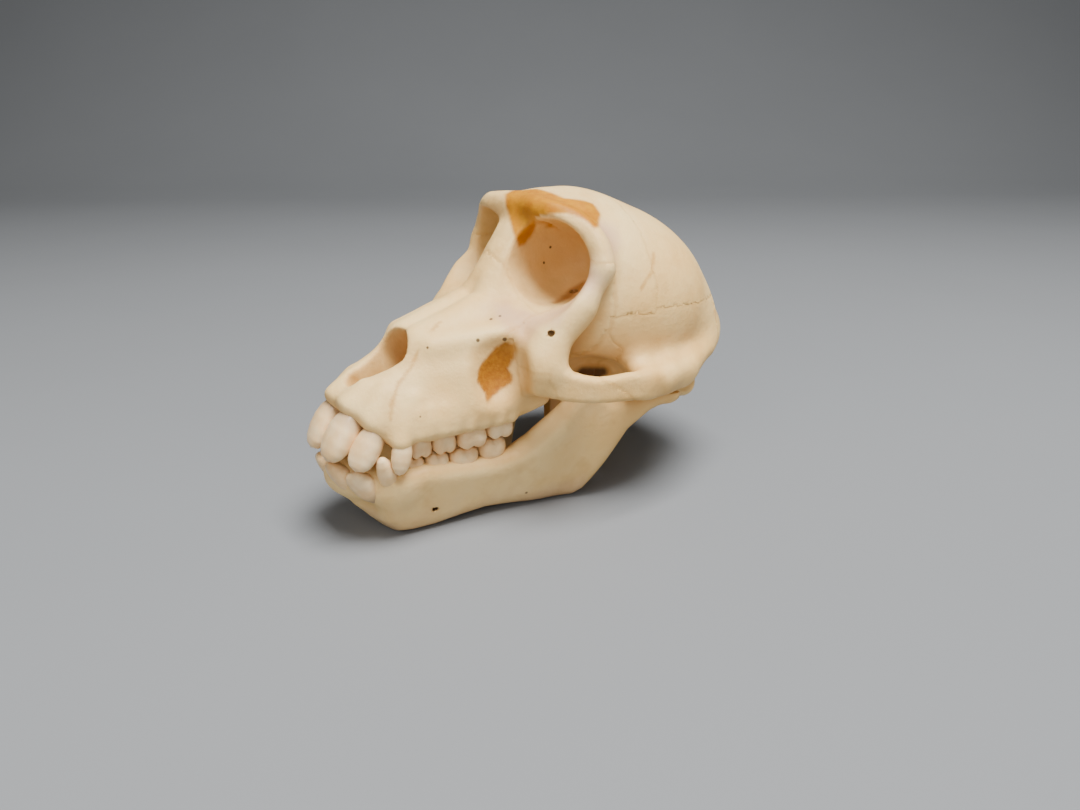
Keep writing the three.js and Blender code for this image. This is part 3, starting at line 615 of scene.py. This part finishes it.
def ripple(points, size, seed):
    """A soft random field between -1 and 1: a sum of sine waves in seeded directions."""
    rng = np.random.default_rng(seed)
    total = np.zeros(len(points))
    for octave in (1, 1.9, 3.7):
        for _ in range(3):
            d = unit(rng.normal(size=3)) * 2 * np.pi * octave / size
            total += np.sin(points @ d + rng.uniform(0, 2 * np.pi)) / octave
    return total / 4.5


# Bones of the cranium in the order of their cuts: name, paired or not, box, and convex parts of planes,
# each plane a point and a normal that points out of the bone
ORBIT_REAR = ORBIT - 7 * ORBIT_OUT
BONES = [
    ("cheekbone", True, ((17, -28, 33), (45, 13, 81)),
     [[((20, -16, 58), (-1, 0, -0.2)), ((0, 0, 73.5), (0, 0, 1)), ((0, 0, 47), (0, 0, -1)),
       (ORBIT_REAR, -ORBIT_OUT)],
      [((20, -16, 58), (-1, 0, -0.2)), ((33.2, 0, 0), (1, 0, 0)), ((0, 0, 47), (0, 0, 1)),
       (ORBIT_REAR, -ORBIT_OUT)],
      [((33, 0, 0), (-1, 0, 0)), ((0, -1, 39.4), (0, 0.62, 0.78))]]),
    ("muzzle", False, ((-33, -77, 22), (33, -3, 81)), [[((0, -13, 51), (0, 0.977, 0.212))]]),
    ("frontal", False, ((-39, -23, 53), (39, 25, 96)),
     [[((0, 17, 80), (0, 1, -0.1)), ((0, 0, 58), (0, 0, -1))]]),
    ("sphenoid", False, ((-33, -21, 23), (33, 11, 65)),
     [[((0, 6, 0), (0, 1, 0)), ((30, 0, 0), (1, 0, 0)), ((-30, 0, 0), (-1, 0, 0))]]),
    ("parietal", True, ((-5, -1, 47), (43, 66, 96)),
     [[((-0.5, 0, 0), (-1, 0, 0)), ((0, 8, 60), (0, -0.1, -1)), ((0, 46, 67), (0, 0.8, 0.6))]]),
    ("occipital", False, ((-37, 1, 18), (37, 69, 87)),
     [[((0, 45, 66.2), (0, -0.8, -0.6)), ((0, 0, 55), (0, 0, -1))],
      [((0, 47.5, 0), (0, -1, 0)), ((0, 0, 60), (0, 0, 1))],
      [((13, 0, 0), (1, 0, 0)), ((-13, 0, 0), (-1, 0, 0)), ((0, 0, 45), (0, 0, 1))]]),
    ("temporal", True, ((3, -13, 18), (47, 63, 67)), [[((0, 0, 0), (-1, 0, 0))]]),
]


def single_bones():
    """Each bone once: its node's name, box, cut planes and the side it lies on."""
    for name, paired, box, parts in BONES:
        for side, ending in ((1, "_left"), (-1, "_right")) if paired else ((1, ""),):
            yield name + ending, box, parts, side


def cut_distance(q, parts, side):
    """Distance to a bone's region: inside all planes of any of its convex parts."""
    q = q * (side, 1, 1)
    inside = []
    for planes in parts:
        inside.append(np.maximum.reduce([(q - point) @ unit(normal) for point, normal in planes]))
    return np.minimum.reduce(inside)


def bone_cut(parts, side, earlier):
    """One bone's region with wavy seams, its face and its seams, as three functions of points: the
    region's distance, the cranium's distance lowered where the bone runs under an earlier one, and
    how far away a seam is."""
    def depths(p):
        q = p + SUTURE_WAVE * np.stack([ripple(p, 10, seed) for seed in (1, 2, 3)], axis=1)
        under = [-cut_distance(q, *other) for other in earlier]
        return cut_distance(q, parts, side), np.maximum.reduce(under) if under else np.full(len(p), -99.0)

    def cut(p):
        own, under = depths(p)
        return np.maximum(own, under - SUTURE_LAP)

    def face(p):
        return cranium(p) + SUTURE_STEP * ramp(-0.4, 0.1, depths(p)[1])

    def seam(p):
        return np.minimum(*np.abs(depths(p)))

    return cut, face, seam


def bone_field(cut, face):
    """The cranium's distance kept to one bone's region."""
    def field(p):
        f = cut(p)
        near = f < 4 * CELL
        f[near] = np.maximum(f[near], face(p[near]))
        return f
    return field


# Stains: an outline over the brows in an oblique view, across and up, and one on the muzzle in side view
OBLIQUE_ACROSS = np.array([0.577, 0.817, 0])
OBLIQUE_UP = np.array([-0.291, 0.206, 0.934])
OBLIQUE_NEAR = np.array([0.763, -0.539, 0.357])
BROW_STAIN = [(-10.5, 82.3), (-5.2, 85.2), (0.3, 82.7), (6.3, 78.7), (14.1, 77.6), (16, 73.9),
              (14.9, 68.5), (13.6, 67.8), (11.6, 69.9), (6.7, 72.3), (2.6, 72.2), (0.2, 72.3),
              (-1.5, 72.1), (-3, 69.6), (-5.1, 67.2), (-6.4, 66.4), (-7.6, 68.5), (-9, 73.9), (-10, 77.9)]
BROW_STAIN_LOW = 73
BROW_STAIN_FAR = 20
MUZZLE_STAIN = [(-24, 53), (-26.5, 53.4), (-29.5, 50.5), (-33.8, 46.7), (-35, 43.8), (-33.2, 40.4),
                (-33.6, 38), (-29.2, 39.5), (-25.3, 41.8), (-24.5, 43.7), (-25.4, 45.6), (-24.2, 48.8)]
MUZZLE_STAIN_X = 18.5
# Chains of marks: x, y, z and radius
SOCKET_STREAK = [(10.2, 7.4, 63, 0.6), (10.9, 3.6, 61.3, 1.2), (12.3, -0.3, 60.3, 0.9),
                 (14.4, -5.8, 59.8, 0.5)]
# Painted shadow deep in the room of the jaw muscles, behind the cheekbone
FOSSA_SHADE = [(17, 2.6, 37.7, 2), (18.4, 5.5, 37.4, 2), (20, 7.5, 38.2, 1.2)]
PINK_STAIN = [(15, -23, 60, 3), (23, -18.7, 58.5, 3), (31, -4, 70, 1.5), (25, 4, 79.5, 2.5)]
SEAM_LINES = [[(7.1, -38.6, 58, 0), (9.1, -44.7, 54.2, 0), (11, -50.2, 48.2, 0), (12.1, -54.7, 44.6, 0),
               (14.1, -57.3, 41.1, 0), (15.6, -58.9, 37.3, 0)],
              [(28.2, 18.3, 73.4, 0), (31.2, 15, 68.9, 0), (32.3, 10.1, 64.8, 0)]]


def bone_marks(p, seam_distance):
    """Masks from 0 to 1 for the stains and seams, and for painted shade in the hollows and recesses, from
    the places of the vertices.
    """
    both = p.copy()
    both[:, 0] = np.abs(both[:, 0])
    ragged = 0.8 * ripple(p, 5, 3)
    brow = outline(p @ OBLIQUE_ACROSS, p @ OBLIQUE_UP, BROW_STAIN) + 0.4 * ragged
    brow = np.maximum.reduce([brow, BROW_STAIN_LOW - p[:, 2], BROW_STAIN_FAR - p @ OBLIQUE_NEAR])
    brow = np.where((orbit_hollow(p) < 0.8) & (orbit_axes(p)[0] > -4), 9, brow)
    muzzle = outline(both[:, 1], both[:, 2], MUZZLE_STAIN)
    muzzle = np.maximum(muzzle, np.abs(both[:, 0] - MUZZLE_STAIN_X) - 4.5) + 0.4 * ragged
    amber, fossa = 1 - ramp(-0.5, 0.6, brow), 1 - ramp(-0.4, 0.5, muzzle)
    pink = 1 - ramp(-2, 5, chain(p, PINK_STAIN) + 2.5 * ripple(p, 11, 8))
    wavy = both + 0.35 * ripple(p, 2.5, 5)[:, None]
    seam = np.maximum.reduce([1 - ramp(0.25, 0.8, chain(wavy, line)) for line in SEAM_LINES])
    seam = np.maximum(seam, 0.4 * (1 - ramp(0.2, 0.6, seam_distance(p))))
    streak = 1 - ramp(-0.4, 1.4, chain(both, SOCKET_STREAK) + 0.5 * ragged)
    # Painted shade inside the eye sockets and the nose opening
    socket = 1 - ramp(-1.5, 0.8, orbit_hollow(both))
    nose = 1 - ramp(-0.5, 1, nose_opening(both))
    # Painted shade over the inside of the braincase
    brain = 1 - ramp(-0.2, 1, brain_hollow(p))
    in_seam = sampled(cranium, p) < -0.3
    # Painted shadow in the room of the jaw muscles
    shade = 0.9 * (1 - ramp(-1, 3, chain(both, FOSSA_SHADE)))
    # Painted shade, darker the more a point is enclosed, over the braincase's inside and the fossa; on
    # the cut walls of the seams a fixed light value gives faint tan joint lines
    shade_and_seam_tan = np.where(in_seam, 0.35, np.maximum.reduce([crevice(cranium, p), 0.8 * brain, shade]))
    return {"amber": amber, "fossa": fossa, "pink": pink, "seam": seam, "streak": streak,
            "hollow_shade": np.maximum(socket, 0.8 * nose), "shade_and_seam_tan": shade_and_seam_tan}


def jaw_marks(p):
    """Masks of the lower jaw: pinker and darker toward its under edge, and painted shade in its crevices.
    """
    none = np.zeros(len(p))
    # Pinker and darker toward the floor
    pink = 0.6 * (1 - ramp(0, 10, p[:, 2] + 4 * ripple(p, 14, 4)))
    return {"amber": none, "fossa": none, "pink": pink, "seam": none, "streak": none, "hollow_shade": none,
            "shade_and_seam_tan": crevice(jaw, p)}


def build_bones(bone, bone_jaw):
    """A piece for each bone of the cranium and one for the lower jaw."""
    earlier = []
    for name, (low, high), parts, side in single_bones():
        low, high = (low, high) if side > 0 else ((-high[0], *low[1:]), (-low[0], *high[1:]))
        cut, face, seam = bone_cut(parts, side, list(earlier))
        p, quads = largest_part(*surface(bone_field(cut, face), low, high, CELL, (face, cut)))
        earlier.append((parts, side))
        paint(new_piece("bone_" + name, p, quads, [name], bone), bone_marks(p, seam))
    p, quads = surface(jaw, (-41, -77, -3), (41, 31, 49), CELL)
    paint(new_piece("bone_mandible", p, quads, ["mandible"], bone_jaw), jaw_marks(p))


def build_teeth(enamel):
    """The upper and lower rows of teeth."""
    for name, node, slot, row in (("upper_teeth", "muzzle", "bone", (UPPER, UPPER_CHEEK, -1)),
                                  ("lower_teeth", "mandible", "bone_lower", (LOWER, LOWER_CHEEK, 1))):
        p, faces, height = tooth_row(*row)
        paint(new_piece(name, p, faces, [node], enamel), {"crown": height})


# Materials
def shader(name, roughness, subsurface=0.0):
    """A material with its Principled shader, ready for links."""
    material = bpy.data.materials.new(name)
    material.use_nodes = True
    tree = material.node_tree
    out = tree.nodes["Principled BSDF"]
    out.inputs["Roughness"].default_value = roughness
    out.inputs["Specular IOR Level"].default_value = 0.25
    if subsurface:
        out.inputs["Subsurface Weight"].default_value = subsurface
        out.inputs["Subsurface Radius"].default_value = (0.9, 0.6, 0.35)
        out.inputs["Subsurface Scale"].default_value = 0.002
    return material, tree, out


def feed(tree, socket, source):
    """Links the source into the socket, or sets the socket where the source is a number or a colour."""
    if isinstance(source, bpy.types.NodeSocket):
        tree.links.new(source, socket)
    else:
        socket.default_value = (*source, 1) if isinstance(source, tuple) else source


def attribute(tree, name):
    """The number stored at the vertices under this name."""
    node = tree.nodes.new("ShaderNodeAttribute")
    node.attribute_name = name
    return node.outputs["Fac"]


def mapped(tree, value, low, high):
    """The value stretched so that low is 0 and high is 1."""
    node = tree.nodes.new("ShaderNodeMapRange")
    for name, source in (("Value", value), ("From Min", low), ("From Max", high)):
        feed(tree, node.inputs[name], source)
    return node.outputs["Result"]


def worked_out(tree, operation, first, second=0.0):
    """The result of a sum or another operation on one or two numbers."""
    node = tree.nodes.new("ShaderNodeMath")
    node.operation = operation
    feed(tree, node.inputs[0], first)
    feed(tree, node.inputs[1], second)
    return node.outputs[0]


def scaled(tree, value, by):
    """The value times a number."""
    return worked_out(tree, "MULTIPLY", value, by)


def layered(tree, below, colour, mask):
    """A colour laid over another where the mask is 1. Either may be a plain colour."""
    node = tree.nodes.new("ShaderNodeMix")
    node.data_type = "RGBA"
    for name, source in (("Factor", mask), ("A", below), ("B", colour)):
        feed(tree, node.inputs[name], source)
    return node.outputs["Result"]


def bumped(tree, out, height, distance, strength):
    """Bump from a height onto the shader's normal."""
    node = tree.nodes.new("ShaderNodeBump")
    node.inputs["Distance"].default_value = distance
    node.inputs["Strength"].default_value = strength
    tree.links.new(height, node.inputs["Height"])
    tree.links.new(node.outputs["Normal"], out.inputs["Normal"])


# Shared effects, each a group of nodes that materials place with their own values
def new_group(name, inputs, outputs):
    """An empty group with these sockets, each a name and a kind, and the sockets within it."""
    group = bpy.data.node_groups.new(name, "ShaderNodeTree")
    for way, sockets in (("INPUT", inputs), ("OUTPUT", outputs)):
        for title, kind in sockets:
            group.interface.new_socket(title, in_out=way, socket_type="NodeSocket" + kind)
    start = group.nodes.new("NodeGroupInput")
    end = group.nodes.new("NodeGroupOutput")
    return group, start.outputs, end.inputs


def placed(tree, group, **values):
    """The outputs of a group placed in a material or in another group, with its own values."""
    node = tree.nodes.new("ShaderNodeGroup")
    node.node_tree = group
    for name, value in values.items():
        node.inputs[name].default_value = value
    return node.outputs


def clouds_group():
    """Noise on object coordinates, with Scale in features per metre, stretched from Low to High."""
    kinds = [(name, "Float") for name in ("Scale", "Detail", "Roughness", "Low", "High")]
    group, given, result = new_group("clouds", kinds, [("Mask", "Float")])
    coords = group.nodes.new("ShaderNodeTexCoord")
    texture = group.nodes.new("ShaderNodeTexNoise")
    group.links.new(coords.outputs["Object"], texture.inputs["Vector"])
    for name in ("Scale", "Detail", "Roughness"):
        group.links.new(given[name], texture.inputs[name])
    mask = mapped(group, texture.outputs["Fac"], given["Low"], given["High"])
    group.links.new(mask, result["Mask"])
    return group


def hole_group():
    """1 within Inner metres of the point Middle and 0 beyond Outer, alike on both sides."""
    kinds = [("Middle", "Vector"), ("Outer", "Float"), ("Inner", "Float")]
    group, given, result = new_group("nerve_hole_shade", kinds, [("Mask", "Float")])
    coords = group.nodes.new("ShaderNodeTexCoord")
    split = group.nodes.new("ShaderNodeSeparateXYZ")
    joined = group.nodes.new("ShaderNodeCombineXYZ")
    far = group.nodes.new("ShaderNodeVectorMath")
    far.operation = "DISTANCE"
    group.links.new(coords.outputs["Object"], split.inputs[0])
    group.links.new(worked_out(group, "ABSOLUTE", split.outputs["X"]), joined.inputs["X"])
    group.links.new(split.outputs["Y"], joined.inputs["Y"])
    group.links.new(split.outputs["Z"], joined.inputs["Z"])
    group.links.new(joined.outputs[0], far.inputs[0])
    group.links.new(given["Middle"], far.inputs[1])
    mask = mapped(group, far.outputs["Value"], given["Outer"], given["Inner"])
    group.links.new(mask, result["Mask"])
    return group


CLOUDS = clouds_group()
HOLE = hole_group()
BONE_PALE = (0.84, 0.53, 0.19)
BONE_WARM = (0.52, 0.25, 0.05)
BONE_WHITE = (0.92, 0.66, 0.30)
AMBER = (0.42, 0.14, 0.0)
AMBER_LIGHT = (0.55, 0.225, 0.0)
FOSSA_AMBER = (0.27, 0.072, 0.0)
FOSSA_LIGHT = (0.41, 0.15, 0.0)
PINK = (0.60, 0.36, 0.29)
# Painted shade inside the eye sockets and the nose opening
SOCKET_SHADE_TAN = (0.42, 0.19, 0.03)
SOCKET_SHADE_PALE = (0.62, 0.36, 0.12)
RUST = (0.30, 0.09, 0.008)
# Near black for painted shade in holes and deep recesses
SHADE_DARK = (0.05, 0.02, 0.008)
ENAMEL_CREAM = (0.84, 0.55, 0.26)
ENAMEL_WHITE = (0.92, 0.68, 0.38)
TOOTH_ROOT = (0.50, 0.34, 0.19)
FLOOR_GREY = (0.19, 0.197, 0.204)
FLOOR_PALE = (0.22, 0.227, 0.234)


def clouds(tree, scale, low=0.0, high=1.0, detail=4.0, rough=0.55):
    """The mask of the clouds with these values."""
    values = {"Scale": scale, "Detail": detail, "Roughness": rough, "Low": low, "High": high}
    return placed(tree, CLOUDS, **values)["Mask"]


def hole_shade_mask(tree, holes):
    """1 within any of the small holes, where their shade is painted."""
    found = None
    for *middle, radius in holes:
        values = {"Middle": place(middle), "Outer": radius * 1.25e-3, "Inner": radius * 0.75e-3}
        inside = placed(tree, HOLE, **values)["Mask"]
        found = inside if found is None else worked_out(tree, "MAXIMUM", found, inside)
    return found


def bone_group():
    """Dry bone: cream with whiter and warmer clouds, stains and seams by mask, painted shade in the eye
    sockets, the nose opening and recesses (warm tan, near black in the deepest), and the height of its
    fine pits."""
    tree, _, result = new_group("dry_bone", [], [("Color", "Color"), ("Height", "Float")])
    colour = layered(tree, BONE_PALE, BONE_WHITE, clouds(tree, 38, 0.35, 0.7))
    colour = layered(tree, colour, BONE_WARM, scaled(tree, clouds(tree, 90, 0.52, 0.8, 6), 0.45))
    # Painted shade inside the eye sockets and the nose opening: tan with paler clouds
    socket = layered(tree, SOCKET_SHADE_TAN, SOCKET_SHADE_PALE, clouds(tree, 130, 0.45, 0.7, 6))
    amber = layered(tree, AMBER, AMBER_LIGHT, clouds(tree, 260, 0.3, 0.7))
    fossa = layered(tree, FOSSA_AMBER, FOSSA_LIGHT, clouds(tree, 900, 0.25, 0.75, 3))
    for name, tone, share in (("pink", PINK, 0.55), ("hollow_shade", socket, 0.75), ("streak", RUST, 0.7),
                              ("amber", amber, 0.97), ("fossa", fossa, 0.98), ("seam", BONE_WARM, 0.6)):
        colour = layered(tree, colour, tone, scaled(tree, attribute(tree, name), share))
    shade_and_seam_tan = attribute(tree, "shade_and_seam_tan")
    # Painted shade in recesses: warm tan where shallow, near black where deepest
    colour = layered(tree, colour, BONE_WARM, scaled(tree, mapped(tree, shade_and_seam_tan, 0.12, 0.5), 0.55))
    colour = layered(tree, colour, SHADE_DARK, scaled(tree, mapped(tree, shade_and_seam_tan, 0.52, 0.88), 0.88))
    tree.links.new(colour, result["Color"])
    tree.links.new(clouds(tree, 450, detail=8, rough=0.68), result["Height"])
    return tree


BONE = bone_group()


def bone_material(name, holes):
    """Dry bone with painted shade in its own small holes."""
    material, tree, out = shader(name, 0.46, 0.1)
    bone = placed(tree, BONE)
    # Painted shade in the small nerve holes
    colour = layered(tree, bone["Color"], SHADE_DARK, scaled(tree, hole_shade_mask(tree, holes), 0.85))
    tree.links.new(colour, out.inputs["Base Color"])
    bumped(tree, out, bone["Height"], 0.0007, 0.4)
    return material


def enamel_material():
    """Worn enamel: greyish white to pinkish cream, darker toward the root."""
    material, tree, out = shader("enamel", 0.28, 0.15)
    colour = layered(tree, ENAMEL_CREAM, ENAMEL_WHITE, clouds(tree, 160, 0.4, 0.65))
    colour = layered(tree, TOOTH_ROOT, colour, mapped(tree, attribute(tree, "crown"), 0.28, 0.46))
    tree.links.new(colour, out.inputs["Base Color"])
    bumped(tree, out, clouds(tree, 900, detail=3), 0.0002, 0.2)
    return material


def floor_material():
    """A pale matt studio floor with faint clouds."""
    material, tree, out = shader("studio_floor", 0.75)
    colour = layered(tree, FLOOR_GREY, FLOOR_PALE, clouds(tree, 3))
    tree.links.new(colour, out.inputs["Base Color"])
    return material


# Stage, in metres: floor grid, the direction away from the camera, and lights by place, size and power
FLOOR_ROWS, FLOOR_COLUMNS = 40, 21
AWAY = (-0.816, 0.578)
LIGHTS = {"top": ((0.28, 0.02, 1), 0.5, 27), "front": ((0.45, -0.8, 0.6), 0.8, 4),
          "fill": ((0.9, -0.1, 0.45), 0.8, 2)}
LIT_POINT = (0, 0, 0.04)
WORLD_LIGHT = 0.1


def build_stage():
    """Floor with a curved rise behind, and three soft lights."""
    t = np.linspace(0, 1, FLOOR_ROWS)[:, None]
    s = np.linspace(-1, 1, FLOOR_COLUMNS)[None, :]
    dist = -1.2 + 3.2 * t + 0 * s
    rise = 1.6 * np.clip((t - 0.62) / 0.38, 0, 1) ** 2 + 0 * s
    side = 2.6 * s + 0 * t
    x = AWAY[0] * dist + AWAY[1] * side
    y = AWAY[1] * dist - AWAY[0] * side
    points = np.stack([x, y, rise], -1).reshape(-1, 3)
    i, k = np.meshgrid(np.arange(FLOOR_ROWS - 1), np.arange(FLOOR_COLUMNS - 1), indexing="ij")
    near = i * FLOOR_COLUMNS + k
    far = near + FLOOR_COLUMNS
    quads = np.stack([near, far, far + 1, near + 1], -1).reshape(-1, 4)
    mesh = bpy.data.meshes.new("floor")
    mesh.from_pydata(points.tolist(), [], quads.tolist())
    mesh.polygons.foreach_set("use_smooth", np.ones(len(mesh.polygons), bool))
    mesh.materials.append(floor_material())
    floor = bpy.data.objects.new("floor", mesh)
    bpy.context.scene.collection.objects.link(floor)
    for name, (spot, size, power) in LIGHTS.items():
        light = bpy.data.lights.new(name, "AREA")
        light.size = size
        light.energy = power
        lamp = bpy.data.objects.new(name, light)
        lamp.matrix_world = looking(spot, LIT_POINT)
        bpy.context.scene.collection.objects.link(lamp)
    world = bpy.data.worlds.new("studio")
    world.use_nodes = True
    background = world.node_tree.nodes["Background"]
    background.inputs["Color"].default_value = (1, 1, 1, 1)
    background.inputs["Strength"].default_value = WORLD_LIGHT
    bpy.context.scene.world = world


def looking(start, target, roll=0.0):
    """A matrix at start whose -Z axis looks at target, rolled in degrees."""
    back = unit(np.asarray(start, float) - target)
    right = unit(np.cross((0, 0, 1), back))
    up = np.cross(back, right)
    r = np.radians(roll)
    right, up = np.cos(r) * right + np.sin(r) * up, -np.sin(r) * right + np.cos(r) * up
    m = np.eye(4)
    m[:3, 0], m[:3, 1], m[:3, 2], m[:3, 3] = right, up, back, start
    return Matrix(m.tolist())


CAMERA_AT = np.array([194.33, -138.42, 114.35])
CAMERA_AZIMUTH, CAMERA_ELEVATION, CAMERA_ROLL = 54.739, 20.894, -0.358
CAMERA_FOCAL = 27.02


def build_camera():
    """The camera fitted to the photograph: its place, direction and 36 mm sensor lens."""
    a, e = np.radians(CAMERA_AZIMUTH), np.radians(CAMERA_ELEVATION)
    back = np.array([np.sin(a) * np.cos(e), -np.cos(a) * np.cos(e), np.sin(e)])
    start = place(CAMERA_AT)
    data = bpy.data.cameras.new("camera")
    data.sensor_width = 36
    data.lens = CAMERA_FOCAL
    data.clip_start = 0.01
    camera = bpy.data.objects.new("camera", data)
    camera.matrix_world = looking(start, start - back, CAMERA_ROLL)
    bpy.context.scene.collection.objects.link(camera)
    bpy.context.scene.camera = camera


build_bones(bone_material("bone", FACE_HOLES), bone_material("bone_lower", JAW_HOLES))
build_teeth(enamel_material())
build_stage()
build_camera()
